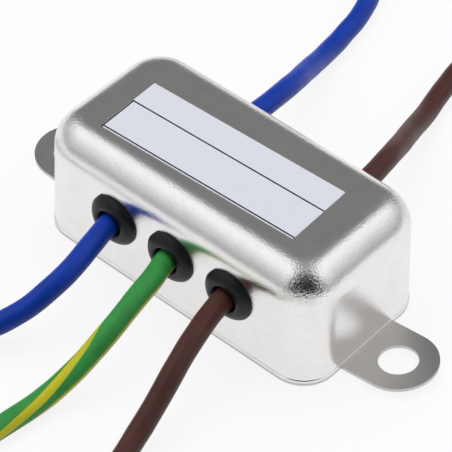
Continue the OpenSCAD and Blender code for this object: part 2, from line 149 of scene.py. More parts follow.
class LeadSettings(bpy.types.PropertyGroup):
    """Sizes and colours of the five leads."""
    diameter: length_prop("Diameter", "Outside diameter of the insulation", 3.1)
    core: length_prop("Core", "Diameter of the stranded core", 1.3)
    strip: length_prop("Stripped end", "Length of core left bare", 6)
    sides: IntProperty(name="Sides", description="Faces round a lead", default=32, min=12)
    spacing: length_prop("Spacing", "Distance between rings of faces along a lead", 0.6)
    strands: IntProperty(name="Strands", description="Outer strands of a core", default=6)
    lay: length_prop("Lay", "Length in which a strand goes once round", 14)
    lump: length_prop("Lumps", "Height of the slow lumps along the insulation", 0.12)
    stripe_share: share_prop("Stripe share", "Part of the way round one stripe takes", 0.125)
    brown: colour_prop("Brown", "Insulation of the line leads", "#4d2c27")
    blue: colour_prop("Blue", "Insulation of the neutral leads", "#0438a4")
    green: colour_prop("Green", "Insulation of the earth lead", "#379446")
    yellow: colour_prop("Yellow", "Stripe of the earth lead", "#cbc426")


class CanSettings(bpy.types.PropertyGroup):
    """Sizes and colour of the drawn can."""
    corner: length_prop("Corner radius", "Plan radius of the upright corners at the top", 6.3)
    foot_corner: length_prop("Foot corner", "Plan radius of the same corners at the foot", 5)
    crown: length_prop("Crown radius", "Radius drawn round the edge of the top", 4.9)
    sheet: length_prop("Sheet", "Thickness of the sheet", 0.6)
    rim: length_prop("Rim", "How far the foot's rim stands out", 0.1)
    rim_height: length_prop("Rim height", "Height of the foot's rim", 0.4)
    hole: length_prop("Lead hole", "Diameter of each lead hole", 6)
    grain: length_prop("Grain", "Width of the plating's satin grain", 0.3)
    peel: length_prop("Orange peel", "Width of the puckers on the stretched corners", 0.3)
    roughness: share_prop("Roughness", "Roughness of the plating", 0.22)
    plating: colour_prop("Plating", "Colour of the tin plating", "#f1efee")


class PlateSettings(bpy.types.PropertyGroup):
    """Sizes and colour of the base plate."""
    sheet: length_prop("Sheet", "Thickness of the sheet", 0.5)
    corner: length_prop("Corner radius", "Plan radius of the plate's corners", 5.1)
    proud: length_prop("Proud", "How far the plate stands out past the can's wall", 0.1)
    ear_pitch: length_prop("Ear pitch", "Distance between the mounting holes", 60)
    ear_width: length_prop("Ear width", "Width of each rounded ear", 11)
    hole: length_prop("Mounting hole", "Diameter of each mounting hole", 5.5)
    set_right: angle_prop("Right set", "Upward set of the right ear", 7)
    set_left: angle_prop("Left set", "Upward set of the left ear", 2)
    edge: length_prop("Edge", "Rounding that stamping leaves on the edges", 0.07)
    grain: length_prop("Grain", "Width of the plating's satin grain", 0.25)
    roughness: share_prop("Roughness", "Roughness of the plating", 0.42)
    plating: colour_prop("Plating", "Colour of the nickel plating", "#cdcbc9")


class GrommetSettings(bpy.types.PropertyGroup):
    """Sizes and colour of the rubber grommets."""
    flange: length_prop("Flange", "Diameter of the outer flange", 7.8)
    proud: length_prop("Proud", "How far the flange stands out", 1.25)
    mouth: length_prop("Mouth", "Diameter of the mouth", 4.1)
    bore: length_prop("Bore", "Diameter of the bore", 3.7)
    edge: length_prop("Edge", "Height of the flange's rim over the wall", 0.22)
    lip: length_prop("Lip", "Radius of the lip round the mouth", 0.3)
    neck: length_prop("Neck", "Diameter of the groove that grips the wall", 6)
    inner: length_prop("Inner flange", "Diameter of the flange inside the can", 7.56)
    nib: length_prop("Nib", "Height of the nib that the mould left on the rim", 0.12)
    rubber: colour_prop("Rubber", "Colour of the rubber", "#131517")


class LabelSettings(bpy.types.PropertyGroup):
    """Sizes and colours of the label."""
    length: length_prop("Length", "Length of the film", 33)
    width: length_prop("Width", "Width of the film", 11.1)
    turn: angle_prop("Turn", "How far the label is turned on the can", 1.9)
    corner: length_prop("Corner radius", "Plan radius of the film's corners", 0.15)
    line: length_prop("Line", "Width of the printed lines", 0.24)
    divider: share_prop("Divider", "Place of the long line across the label, from the back",
                        0.41)
    film: colour_prop("Film", "Colour of the film", "#dfe2ec")
    ink: colour_prop("Ink", "Colour of the printed lines", "#0e0e10")


class StageSettings(bpy.types.PropertyGroup):
    """The camera, the floor and the light."""
    azimuth: angle_prop("Azimuth", "Turn of the camera round the filter", 40.968)
    elevation: angle_prop("Elevation", "Height of the camera above the horizon", 45.723)
    roll: angle_prop("Roll", "Tilt of the camera", 0.667)
    distance: length_prop("Distance", "Distance from the camera to its aim", 339.352)
    lens: share_prop("Lens", "Focal length in millimetres", 195.024)
    floor: colour_prop("Floor", "Colour of the floor", "#f3f3f2")
    floor_glow: share_prop("Floor glow", "How far the floor is lifted to white", 0.86)
    floor_reach: length_prop("Floor reach", "Distance from the filter to its edges", 4000)
    lamp: share_prop("Lamp", "Power of the lamp overhead, in watts", 8)
    lamp_size: length_prop("Lamp size", "Diameter of the lamp", 1200)
    panels: angle_prop("Panels", "Turn of the line between the two soft panels", 41)


GROUPS = {
    "filter_leads": LeadSettings, "filter_can": CanSettings, "filter_plate": PlateSettings,
    "filter_grommets": GrommetSettings, "filter_label": LabelSettings,
    "filter_stage": StageSettings,
}


# ---- Helpers ----

def add(tree, kind, links=None, stops=None, **settings):
    """Adds a node. Its kind may leave ShaderNode out, settings are its own, links gives
    each input a socket, node or value, and stops are the places and colours of a ramp."""
    node = tree.nodes.new(kind if "Node" in kind else "ShaderNode" + kind)
    for name, value in settings.items():
        setattr(node, name, value)
    for name, value in (links or {}).items():
        if isinstance(value, bpy.types.Node):
            value = value.outputs[0]
        if isinstance(value, bpy.types.NodeSocket):
            tree.links.new(value, node.inputs[name])
        else:
            node.inputs[name].default_value = value
    if stops:
        ramp = node.color_ramp
        while len(ramp.elements) < len(stops):
            ramp.elements.new(0.5)
        for element, (place, colour) in zip(ramp.elements, stops):
            element.position = place
            element.color = (*colour, 1) if hasattr(colour, "__len__") else (colour,) * 3 + (1,)
    return node


def start_material(name):
    """An empty node material, its tree, and the piece's own coordinates."""
    material = bpy.data.materials.new(name)
    material.use_nodes = True
    tree = material.node_tree
    tree.nodes.clear()
    return material, tree, add(tree, "TexCoord").outputs["Object"]


def finish_material(material, links):
    """Ends a material in one surface shader with the given inputs."""
    surface = add(material.node_tree, "BsdfPrincipled", links)
    add(material.node_tree, "OutputMaterial", {"Surface": surface})
    return material


def rgba(colour):
    """A colour with full cover, as a shader's socket takes it."""
    return (*colour, 1)


def shade(colour, factor):
    """A colour made darker or lighter."""
    return [min(1, c * factor) for c in colour]


def in_scene(name, data):
    """A new object made of this data, in the scene."""
    made = bpy.data.objects.new(name, data)
    bpy.context.scene.collection.objects.link(made)
    return made


def new_piece(name, mesh, material, *nodes, slot):
    """Puts a finished mesh in the scene, where it stands for the given CAD nodes."""
    piece = in_scene(name, mesh)
    if not mesh.materials:
        mesh.materials.append(material)
    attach(piece, "root")
    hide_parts(*nodes)
    return piece


def baked(mesh, modifiers):
    """The mesh that these modifiers make of a mesh: (kind, settings) for each."""
    maker = in_scene("maker", mesh)
    for kind, settings in modifiers:
        modifier = maker.modifiers.new(kind.lower(), kind)
        inputs = settings.pop("inputs", {})
        for name, value in settings.items():
            setattr(modifier, name, value)
        for name, value in inputs.items():
            modifier[modifier.node_group.interface.items_tree[name].identifier] = value
    graph = bpy.context.evaluated_depsgraph_get()
    result = bpy.data.meshes.new_from_object(maker.evaluated_get(graph))
    bpy.data.objects.remove(maker)
    bpy.data.meshes.remove(mesh)
    return result


def mesh_of(name, points, faces=(), edges=()):
    """A mesh from its points and faces, smooth all over."""
    mesh = bpy.data.meshes.new(name)
    mesh.from_pydata([tuple(p) for p in points], list(edges), list(faces))
    mesh.shade_smooth()
    return mesh


def skin_rings(name, rings, foot=False, top=False):
    """A mesh over rings of points, one after another, with a face over either end."""
    count = len(rings[0])
    points = [p for ring in rings for p in ring]
    last = len(points) - count
    faces = [(low + k, low + (k + 1) % count, low + count + (k + 1) % count, low + count + k)
             for low in range(0, last, count) for k in range(count)]
    if top:
        faces.append(range(last, last + count))
    if foot:
        faces.append(range(count - 1, -1, -1))
    return mesh_of(name, points, faces)


def geometry_tree(name, inputs):
    """A Geometry Nodes tree with named inputs, and its input node."""
    tree = bpy.data.node_groups.new(name, "GeometryNodeTree")
    tree.interface.new_socket("Geometry", in_out="INPUT", socket_type="NodeSocketGeometry")
    for label, kind in inputs.items():
        tree.interface.new_socket(label, in_out="INPUT", socket_type="NodeSocket" + kind)
    tree.interface.new_socket("Result", in_out="OUTPUT", socket_type="NodeSocketGeometry")
    return tree, add(tree, "NodeGroupInput").outputs


def finish_tree(tree, geometry, material):
    """Ends a tree in real geometry with its material set."""
    real = add(tree, "GeometryNodeRealizeInstances", {"Geometry": geometry})
    painted = add(tree, "GeometryNodeSetMaterial", {"Geometry": real, "Material": material})
    add(tree, "NodeGroupOutput", {"Result": painted})
    return tree


def smooth_route(points, spacing):
    """A smooth curve through the points, by centripetal splines, no lower than their end."""
    points = [Vector(p) for p in points]
    floor = points[-1].z
    padded = [2 * points[0] - points[1], *points, 2 * points[-1] - points[-2]]
    curve = []
    for p0, p1, p2, p3 in zip(padded, padded[1:], padded[2:], padded[3:]):
        t1 = (p1 - p0).length ** 0.5
        t2 = t1 + (p2 - p1).length ** 0.5
        t3 = t2 + (p3 - p2).length ** 0.5
        steps = max(2, round((p2 - p1).length / spacing))
        for step in range(steps):
            t = t1 + (t2 - t1) * step / steps
            a1 = p0 + (p1 - p0) * (t / t1)
            a2 = p1 + (p2 - p1) * ((t - t1) / (t2 - t1))
            a3 = p2 + (p3 - p2) * ((t - t2) / (t3 - t2))
            b1 = a1 + (a2 - a1) * (t / t2)
            b2 = a2 + (a3 - a2) * ((t - t1) / (t3 - t1))
            curve.append(b1 + (b2 - b1) * ((t - t1) / (t2 - t1)))
    curve.append(points[-1])
    for point in curve:
        point.z = max(point.z, floor)
    return curve


def turns(angle, steps):
    """The angles from nothing to this one, in even steps, with both ends."""
    return [angle * step / steps for step in range(steps + 1)]


# ---- Materials ----

def mottled(tree, place, width, detail, colour, *stops, rough=0.5):
    """Soft patches of this width, and a colour that they make darker or lighter: each stop
    is a place on their ramp and a factor."""
    patches = add(tree, "TexNoise", {"Vector": place, "Scale": 1 / width,
                  "Detail": detail, "Roughness": rough})
    return patches, add(tree, "ValToRGB", {"Fac": patches},
                        [(at, shade(colour, factor)) for at, factor in stops])


def relief(tree, place, width, height, detail=3.0, strength=1.0, rough=0.5, below=None):
    """Bumps of this width and height, over the bumps that lie below them."""
    bumps = add(tree, "TexNoise", {"Vector": place, "Scale": 1 / width, "Detail": detail,
                "Roughness": rough})
    links = {"Height": bumps, "Strength": strength, "Distance": height}
    return add(tree, "Bump", links if below is None else {**links, "Normal": below})


def soft_pvc(name, colour, stripe=None, sizes=None):
    """PVC insulation, extruded over the core: satin, with faint lines drawn along it by
    the die, small dull scuffs, and a softly wavy surface that breaks up the highlight."""
    material, tree, place = start_material(name)
    wrap = add(tree, "Attribute", attribute_name="wrap")
    parts = add(tree, "SeparateXYZ", {"Vector": wrap.outputs["Vector"]})
    clouds, tint = mottled(tree, place, 2.2 * MM, 3.0, colour, (0.35, 0.9), (0.65, 1.08))
    if stripe:
        # Two stripes are laid in the die, and each drifts round the lead in its own way
        turn = add(tree, "Math", {0: parts.outputs["Y"], 1: parts.outputs["X"]},
                   operation="ARCTAN2")
        turn = add(tree, "Math", {0: turn, 1: 1 / (2 * pi), 2: STRIPE_FACING},
                   operation="MULTIPLY_ADD")
        along = add(tree, "Math", {0: parts.outputs["Z"], 1: STRIPE_RUN * MM},
                    operation="DIVIDE")
        edge, blur = sizes.stripe_share / 2, 0.006
        cover = 0
        for drift in STRIPE_DRIFTS:
            drifted = add(tree, "ValToRGB", {"Fac": along}, [
                (run / STRIPE_RUN, (angle - STRIPE_LEAST) / STRIPE_SPAN)
                for run, angle in drift])
            # How far it is from the stripe's middle line, as a share of a turn
            off = add(tree, "Math", {0: drifted, 1: STRIPE_SPAN / 360, 2: turn},
                      operation="MULTIPLY_ADD")
            off = add(tree, "Math", {0: off}, operation="FRACT")
            off = add(tree, "Math", {0: off, 1: 0.5}, operation="SUBTRACT")
            off = add(tree, "Math", {0: off}, operation="ABSOLUTE")
            here = add(tree, "MapRange", {"Value": off, "From Min": edge + blur,
                       "From Max": edge - blur}).outputs[0]
            cover = add(tree, "Math", {0: here, 1: cover}, operation="MAXIMUM")
        tint = add(tree, "Mix", {"Factor": cover, 6: tint, 7: rgba(stripe)},
                   data_type="RGBA").outputs[2]
    # Lines of the die: noise with nine cells to the lead's radius, and 5 mm long
    flow = add(tree, "VectorMath", {0: wrap.outputs["Vector"], 1: (9, 9, 1 / (5 * MM))},
               operation="MULTIPLY")
    lines = relief(tree, flow, 1, 0.02 * MM, detail=2.0, strength=0.6)
    skin = relief(tree, place, 0.3 * MM, 0.008 * MM, detail=2.0, strength=0.5, below=lines)
    dull = add(tree, "MapRange", {"Value": clouds, "To Min": 0.36, "To Max": 0.5})
    return finish_material(material, {
        "Base Color": tint, "Roughness": dull.outputs[0], "Specular IOR Level": 0.28,
        "Normal": skin})


def plated_steel(name, sizes, peel_width=None):
    """Steel sheet, pressed and then plated in a barrel: bright, with cloudy patches, puckers
    where the drawing stretched it, and a satin grain that blurs what it mirrors. The real
    grain is finer than it is drawn here, so that it shows."""
    material, tree, place = start_material(name)
    clouds, tint = mottled(tree, place, 3 * MM, 4.0, sizes.plating, (0.3, 0.95), (0.7, 1))
    # Tiny pits and specks of the plating
    specks = mottled(tree, place, 0.35 * MM, 2.0, (1, 1, 1), (0.28, 0.88), (0.4, 1),
                     rough=0.7)[1]
    tint = add(tree, "Mix", {"Factor": 1.0, 6: tint, 7: specks}, data_type="RGBA",
               blend_type="MULTIPLY").outputs[2]
    sheen = add(tree, "MapRange", {"Value": clouds, "To Min": sizes.roughness * 0.85,
                "To Max": sizes.roughness * 1.2})
    skin = relief(tree, place, sizes.grain, sizes.grain * 0.11, detail=2.0, rough=0.65)
    # The sheet isn't quite flat: slow waves bend what it mirrors
    skin = relief(tree, place, 7 * MM, 0.06 * MM, detail=1.0, below=skin)
    if peel_width:
        stretch = add(tree, "Attribute", attribute_name="stretch").outputs["Fac"]
        skin = relief(tree, place, peel_width, peel_width * 0.15, detail=1.5,
                      strength=stretch, below=skin)
    return finish_material(material, {
        "Base Color": tint, "Metallic": 1.0, "Roughness": sheen.outputs[0],
        "Normal": skin})


def printed_film(settings, centre):
    """Polyester label film, printed by thermal transfer: cool white and satin, with thin
    black lines whose edges are slightly ragged, and no words."""
    material, tree, place = start_material("polyester_film_printed")
    own = add(tree, "Mapping", {"Vector": place, "Location": centre,
              "Rotation": (0, 0, settings.turn)}, vector_type="TEXTURE")
    ragged = add(tree, "TexNoise", {"Vector": own, "Scale": 1 / (0.25 * MM)})
    ragged = add(tree, "VectorMath", {0: ragged.outputs["Color"], 1: (0.02 * MM,) * 3,
                 2: own}, operation="MULTIPLY_ADD")
    at = add(tree, "SeparateXYZ", {"Vector": ragged}).outputs
    divider_y = settings.width * (0.5 - settings.divider)
    front_y = -settings.width / 2 + 1.35 * settings.line
    left_x = -settings.length / 2 + 0.75 * settings.line
    divider, front, left = (
        add(tree, "Math", {0: at[axis], 1: where, 2: settings.line / 2},
            operation="COMPARE")
        for axis, where in (("Y", divider_y), ("Y", front_y), ("X", left_x)))
    # The short line on the left ends at the divider
    fore = add(tree, "Math", {0: at["Y"], 1: divider_y}, operation="LESS_THAN")
    left = add(tree, "Math", {0: left, 1: fore}, operation="MULTIPLY")
    ink = add(tree, "Math", {0: divider, 1: front}, operation="MAXIMUM")
    ink = add(tree, "Math", {0: ink, 1: left}, operation="MAXIMUM")
    film = mottled(tree, own, 0.5 * MM, 3.0, settings.film, (0.35, 0.965), (0.65, 1))[1]
    tint = add(tree, "Mix", {"Factor": ink, 6: film, 7: rgba(settings.ink)}, data_type="RGBA")
    return finish_material(material, {
        "Base Color": tint.outputs[2], "Roughness": 0.42, "Specular IOR Level": 0.35,
        "Normal": relief(tree, own, 0.5 * MM, 0.006 * MM, strength=0.4)})


def moulded(name, colour, roughness, grain=0.3, depth=0.01, mottle=0.1, metallic=0.0):
    """A finish with the grain of its mould, coat or firing: grain and depth are that
    texture's width and height in millimetres, and mottle is how much its colour varies."""
    material, tree, place = start_material(name)
    clouds, tint = mottled(tree, place, 6 * grain * MM, 4.0, linear(colour),
                           (0.3, 1 - mottle), (0.7, 1 + mottle))
    sheen = add(tree, "MapRange", {"Value": clouds, "To Min": roughness * 0.85,
                "To Max": min(1, roughness * 1.15)})
    return finish_material(material, {
        "Base Color": tint, "Metallic": metallic, "Roughness": sheen.outputs[0],
        "Normal": relief(tree, place, grain * MM, depth * MM)})


def black_rubber(settings):
    """EPDM rubber, compression moulded: nearly black, dull, with a dusty bloom, pale flecks
    and the fine pitted skin of its mould."""
    material, tree, place = start_material("epdm_rubber_moulded")
    tint = mottled(tree, place, 1.6 * MM, 4.0, settings.rubber, (0.35, 0.75), (0.7, 1.9))[1]
    flecks = add(tree, "TexVoronoi", {"Vector": place, "Scale": 1 / (0.55 * MM)})
    flecks = add(tree, "Math", {0: flecks.outputs["Distance"], 1: 0.09}, operation="LESS_THAN")
    tint = add(tree, "Mix", {"Factor": flecks, 6: tint,
               7: rgba(shade(settings.rubber, 5))}, data_type="RGBA")
    return finish_material(material, {
        "Base Color": tint.outputs[2], "Roughness": 0.42, "Specular IOR Level": 0.3,
        "Normal": relief(tree, place, 0.22 * MM, 0.02 * MM, strength=0.8)})


# What each kept CAD node is made of: name, colour, roughness and texture
INSIDE = {
    # Copper strands, tinned in a bath: soft grey-white, wiped smooth
    "tinned_wire": ("tinned_copper", "#d5d3cf", 0.3, dict(grain=0.2, metallic=1.0)),
    # Bare drawn copper, slightly tarnished
    "copper": ("drawn_copper", "#c77a55", 0.28, dict(grain=0.2, metallic=1.0, mottle=0.15)),
    # Nylon tray, injection moulded with a matt mould: milky and slightly mottled
    "tray_nylon": ("nylon_moulded", "#d9d4c4", 0.5, dict(grain=0.35)),
    # Paper laminate board, pressed and punched: brown, with the paper's fibres
    "board_laminate": ("phenolic_laminate", "#a9743c", 0.45, dict(grain=0.5, mottle=0.18)),
    # Ferrite ring under an epoxy coat: pale green and lumpy
    "ferrite": ("epoxy_coated_ferrite", "#5f8f62", 0.4, dict(grain=0.8, depth=0.05)),
    # Copper wire under polyurethane enamel: deep orange-brown and glossy
    "enamelled_copper": ("enamelled_copper", "#b4552a", 0.2, dict(metallic=0.8, mottle=0.2)),
    # Polypropylene box, injection moulded and filled with resin: yellow, fine spark grain
    "capacitor_case": ("polypropylene_box", "#d8b23a", 0.4, dict(grain=0.25)),
    # Epoxy dip over a ceramic disc: blue, thick and glossy, with slow waves
    "disc_epoxy": ("dipped_epoxy", "#2f6fb5", 0.22, dict(grain=1.2, depth=0.06)),
    # Cement coat of a film resistor: dull sand colour, rough
    "resistor_coat": ("resistor_lacquer", "#c6a97a", 0.5, dict(grain=0.3, depth=0.02)),
    # Solder, run and frozen: bright and softly rippled
    "solder": ("frozen_solder", "#cfd0d2", 0.2, dict(grain=0.6, depth=0.03, metallic=1.0)),
    # Nickel-plated tag, blanked from strip
    "base_plating": ("nickel_plated_tag", "#dedcd8", 0.28, dict(grain=0.2, metallic=1.0)),
}


# ---- Leads ----

def lead_tree(material):
    """Insulation swept along a route: each point keeps where it is round and along."""
    tree, given = geometry_tree("sweep_insulation", {
        "Radius": "Float", "Sides": "Int", "Spacing": "Float", "Lumps": "Float"})
    line = add(tree, "GeometryNodeMeshToCurve", {"Mesh": given["Geometry"]})
    line = add(tree, "GeometryNodeResampleCurve", {"Curve": line,
               "Length": given["Spacing"]}, mode="LENGTH")
    along = add(tree, "GeometryNodeCaptureAttribute", {"Geometry": line})
    along.capture_items.new("FLOAT", "Along")
    tree.links.new(add(tree, "GeometryNodeSplineParameter").outputs["Length"],
                   along.inputs["Along"])
    circle = add(tree, "GeometryNodeCurvePrimitiveCircle", {
                 "Resolution": given["Sides"], "Radius": given["Radius"]})
    around = add(tree, "GeometryNodeCaptureAttribute", {"Geometry": circle})
    around.capture_items.new("VECTOR", "Around")
    tree.links.new(add(tree, "GeometryNodeInputPosition").outputs[0], around.inputs["Around"])
    tube = add(tree, "GeometryNodeCurveToMesh", {"Curve": along.outputs["Geometry"],
               "Profile Curve": around.outputs["Geometry"], "Fill Caps": True})
    # The insulation isn't quite round: lumps 3.5 mm long, along its own normals
    slow = add(tree, "TexNoise", {"Scale": 1 / (3.5 * MM), "Detail": 0.0})
    slow = add(tree, "Math", {0: slow, 1: 0.5}, operation="SUBTRACT")
    slow = add(tree, "Math", {0: slow, 1: given["Lumps"]}, operation="MULTIPLY")
    lump = add(tree, "VectorMath", {0: add(tree, "GeometryNodeInputNormal"),
               "Scale": slow}, operation="SCALE")
    tube = add(tree, "GeometryNodeSetPosition", {"Geometry": tube, "Offset": lump})
    unit = add(tree, "VectorMath", {0: around.outputs["Around"]}, operation="NORMALIZE")
    parts = add(tree, "SeparateXYZ", {"Vector": unit})
    wrap = add(tree, "CombineXYZ", {"X": parts.outputs["X"],
               "Y": parts.outputs["Y"], "Z": along.outputs["Along"]})
    tube = add(tree, "GeometryNodeStoreNamedAttribute", {"Geometry": tube, "Name": "wrap",
               "Value": wrap}, data_type="FLOAT_VECTOR", domain="POINT")
    return finish_tree(tree, tube, material)


def strand_tree(material):
    """A stranded core: thin wires laid round a middle one along a line."""
    tree, given = geometry_tree("lay_strands", {
        "Wire": "Float", "Strands": "Int", "Lay": "Float"})
    line = add(tree, "GeometryNodeMeshToCurve", {"Mesh": given["Geometry"]})
    line = add(tree, "GeometryNodeResampleCurve", {"Curve": line, "Count": 24})
    total = add(tree, "Math", {0: given["Strands"], 1: 1}, operation="ADD")
    copies = add(tree, "GeometryNodeDuplicateElements", {"Geometry": line,
                 "Amount": total}, domain="SPLINE")
    outer = add(tree, "Math", {0: copies.outputs["Duplicate Index"], 1: 0.5},
                operation="GREATER_THAN")
    reach = add(tree, "Math", {0: outer, 1: given["Wire"]}, operation="MULTIPLY")
    turn = add(tree, "Math", {0: copies.outputs["Duplicate Index"],
               1: given["Strands"]}, operation="DIVIDE")
    along = add(tree, "GeometryNodeSplineParameter").outputs["Length"]
    twist = add(tree, "Math", {0: along, 1: given["Lay"]}, operation="DIVIDE")
    turn = add(tree, "Math", {0: turn, 1: twist}, operation="ADD")
    turn = add(tree, "Math", {0: turn, 1: 2 * pi}, operation="MULTIPLY")
    normal = add(tree, "GeometryNodeInputNormal")
    side = add(tree, "VectorMath", {0: add(tree, "GeometryNodeInputTangent"),
               1: normal}, operation="CROSS_PRODUCT")
    shares = [add(tree, "Math", {0: turn}, operation=kind) for kind in ("COSINE", "SINE")]
    moves = []
    for direction, share in zip((normal, side), shares):
        amount = add(tree, "Math", {0: share, 1: reach}, operation="MULTIPLY")
        moves.append(add(tree, "VectorMath", {0: direction, "Scale": amount},
                         operation="SCALE"))
    move = add(tree, "VectorMath", {0: moves[0], 1: moves[1]}, operation="ADD")
    laid = add(tree, "GeometryNodeSetPosition", {"Geometry": copies, "Offset": move})
    radius = add(tree, "Math", {0: given["Wire"], 1: 0.5}, operation="MULTIPLY")
    circle = add(tree, "GeometryNodeCurvePrimitiveCircle", {"Resolution": 10, "Radius": radius})
    strands = add(tree, "GeometryNodeCurveToMesh", {"Curve": laid, "Profile Curve": circle,
                  "Fill Caps": True})
    return finish_tree(tree, strands, material)


class FILTER_OT_leads(bpy.types.Operator):
    """Sweep the five leads' insulation and lay their stripped, tinned ends"""
    bl_idname = "emi_filter.leads"
    bl_label = "Leads"

    def execute(self, context):
        sizes = context.scene.filter_leads
        finishes = {
            "brown": soft_pvc("pvc_brown", sizes.brown),
            "blue": soft_pvc("pvc_blue", sizes.blue),
            "green_yellow": soft_pvc("pvc_green_yellow", sizes.green, sizes.yellow, sizes),
        }
        # Copper strands, tinned one by one: soft grey-white, a little shinier than in the can
        tinned = moulded("tinned_strands", "#d5d3cf", 0.28, grain=0.15, metallic=1.0)
        trees = {name: lead_tree(finish) for name, finish in finishes.items()}
        strands = strand_tree(tinned)
        for name, route in ROUTES.items():
            path = smooth_route(route, sizes.spacing)
            colour = LEAD_COLOURS[name]
            line = mesh_of(name, path, edges=[(i, i + 1) for i in range(len(path) - 1)])
            tube = baked(line, [("NODES", {"node_group": trees[colour], "inputs": {
                "Radius": sizes.diameter / 2, "Sides": sizes.sides,
                "Spacing": sizes.spacing, "Lumps": sizes.lump}})])
            lead = new_piece("insulation_" + name, tube, finishes[colour], "lead_" + name,
                             slot=colour + "_pvc")
            ahead = (path[-1] - path[-2]).normalized()
            start, end = path[-1] - ahead * sizes.core, path[-1] + ahead * sizes.strip
            line = mesh_of(name, [start, end], edges=[(0, 1)])
            core = baked(line, [("NODES", {"node_group": strands, "inputs": {
                "Wire": sizes.core / 3, "Strands": sizes.strands, "Lay": sizes.lay}})])
            tip = new_piece("strands_" + name, core, tinned, "lead_tip_" + name,
                            slot="tinned_wire")
        return {"FINISHED"}


# ---- Can ----

def plan_ring(half_x, half_y, radius, z):
    """Points round a rectangle with round corners, with more along its long sides."""
    corners = [(1, 1), (-1, 1), (-1, -1), (1, -1)]
    arc_steps, long_steps, short_steps = 16, 24, 12
    arcs = []
    for quarter, (side_x, side_y) in enumerate(corners):
        centre = Vector((side_x * (half_x - radius), side_y * (half_y - radius), z))
        arcs.append([centre + radius * Vector((cos(a), sin(a), 0)) for a in (
            pi / 2 * (quarter + step / arc_steps) for step in range(arc_steps + 1))])
    ring = []
    for quarter, arc in enumerate(arcs):
        steps = short_steps if quarter % 2 else long_steps
        first, last = arc[-1], arcs[(quarter + 1) % 4][0]
        ring += arc + [first.lerp(last, step / steps) for step in range(1, steps)]
    return ring


def can_profile(sizes, low, top):
    """How far in and how high each ring of the can's outside is, from its foot up."""
    rim, height = sizes.rim, sizes.rim_height
    foot = [(-rim, low), (-rim, low + 0.12 * height), (-rim, low + 0.75 * height),
            (-0.75 * rim, low + 0.95 * height), (-0.3 * rim, low + 1.02 * height),
            (0, low + 1.12 * height), (0, low + 1.5 * height)]
    tangent = top - sizes.crown
    wall = [(0, low + (tangent - low) * share)
            for share in (0.15, 0.3, 0.45, 0.6, 0.75, 0.9, 0.97)]
    crown = [(sizes.crown * (1 - cos(a)), tangent + sizes.crown * sin(a))
             for a in turns(pi / 2, 20)]
    # A narrow flat ring keeps the crown's shading off the large top face
    return foot + wall + crown + [(sizes.crown + 0.35 * MM, top)]


class FILTER_OT_can(bpy.types.Operator):
    """Draw the can, pierce its lead holes and mark where the drawing stretched it"""
    bl_idname = "emi_filter.can"
    bl_label = "Can"

    def execute(self, context):
        sizes = context.scene.filter_can
        low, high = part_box("drawn_can")
        half_x, half_y = high.x - sizes.rim, high.y - sizes.rim
        rings = []
        for inset, z in can_profile(sizes, low.z, high.z):
            # A drawn corner is rounder the further it is drawn
            drawn = min(1, (z - low.z) / (high.z - sizes.crown - low.z))
            corner = sizes.foot_corner + (sizes.corner - sizes.foot_corner) * drawn
            rings.append(plan_ring(half_x - inset, half_y - inset, corner - inset, z))
        outside = skin_rings("can_outside", rings, top=True)
        holes = bmesh.new()
        for route in ROUTES.values():
            x, y, z = route[0]
            wall = Vector((x, half_y * (1 if y > 0 else -1), z))
            bmesh.ops.create_cone(
                holes, segments=64, radius1=sizes.hole / 2, radius2=sizes.hole / 2,
                depth=4 * MM, cap_ends=True,
                matrix=Matrix.Translation(wall) @ Matrix.Rotation(pi / 2, 4, "X"))
        cutter = in_scene("lead_holes", bpy.data.meshes.new("lead_holes"))
        holes.to_mesh(cutter.data)
        holes.free()
        mesh = baked(outside, [
            ("SOLIDIFY", {"thickness": sizes.sheet, "offset": -1, "use_even_offset": True}),
            ("BOOLEAN", {"object": cutter, "solver": "EXACT"})])
        bpy.data.objects.remove(cutter)
        mesh.set_sharp_from_angle(angle=radians(40))
        # The metal is stretched most where a corner meets the crown, and less below it
        stretch = mesh.attributes.new("stretch", "FLOAT", "POINT")
        for vertex, value in zip(mesh.vertices, stretch.data):
            x, y, z = vertex.co
            out = [min(1, max(0, (abs(v) - half + sizes.corner) / sizes.corner))
                   for v, half in ((x, half_x), (y, half_y))]
            drawn = min(1, max(0, (z - high.z + 1.9 * sizes.crown) / sizes.crown))
            value.value = min(1, 2.2 * min(out)) * drawn
        finish = plated_steel("tin_plated_steel_deep_drawn", sizes, sizes.peel)
        mesh.materials.clear()
        new_piece("can_shell", mesh, finish, "drawn_can", slot="can_plating")
        return {"FINISHED"}


# ---- Base plate ----

def plate_outline(sizes, half_x, half_y):
    """The stamped outline, counter-clockwise: the plate with a round ear at each end."""
    half_ear, pin = sizes.ear_width / 2, sizes.ear_pitch / 2
    points = []
    for side in (1, -1):
        corner = Vector((half_x - sizes.corner, -(half_y - sizes.corner)))
        arc = [corner + sizes.corner * Vector((sin(a), -cos(a))) for a in turns(pi / 2, 12)]
        ear = [Vector((pin, 0)) + half_ear * Vector((sin(a), -cos(a))) for a in turns(pi, 48)]
        half = arc + [Vector((half_x, -half_ear))] + ear + [Vector((half_x, half_ear))]
        half += [Vector((p.x, -p.y)) for p in reversed(arc)]
        points += [Vector((side * p.x, side * p.y, 0)) for p in half]
    return points


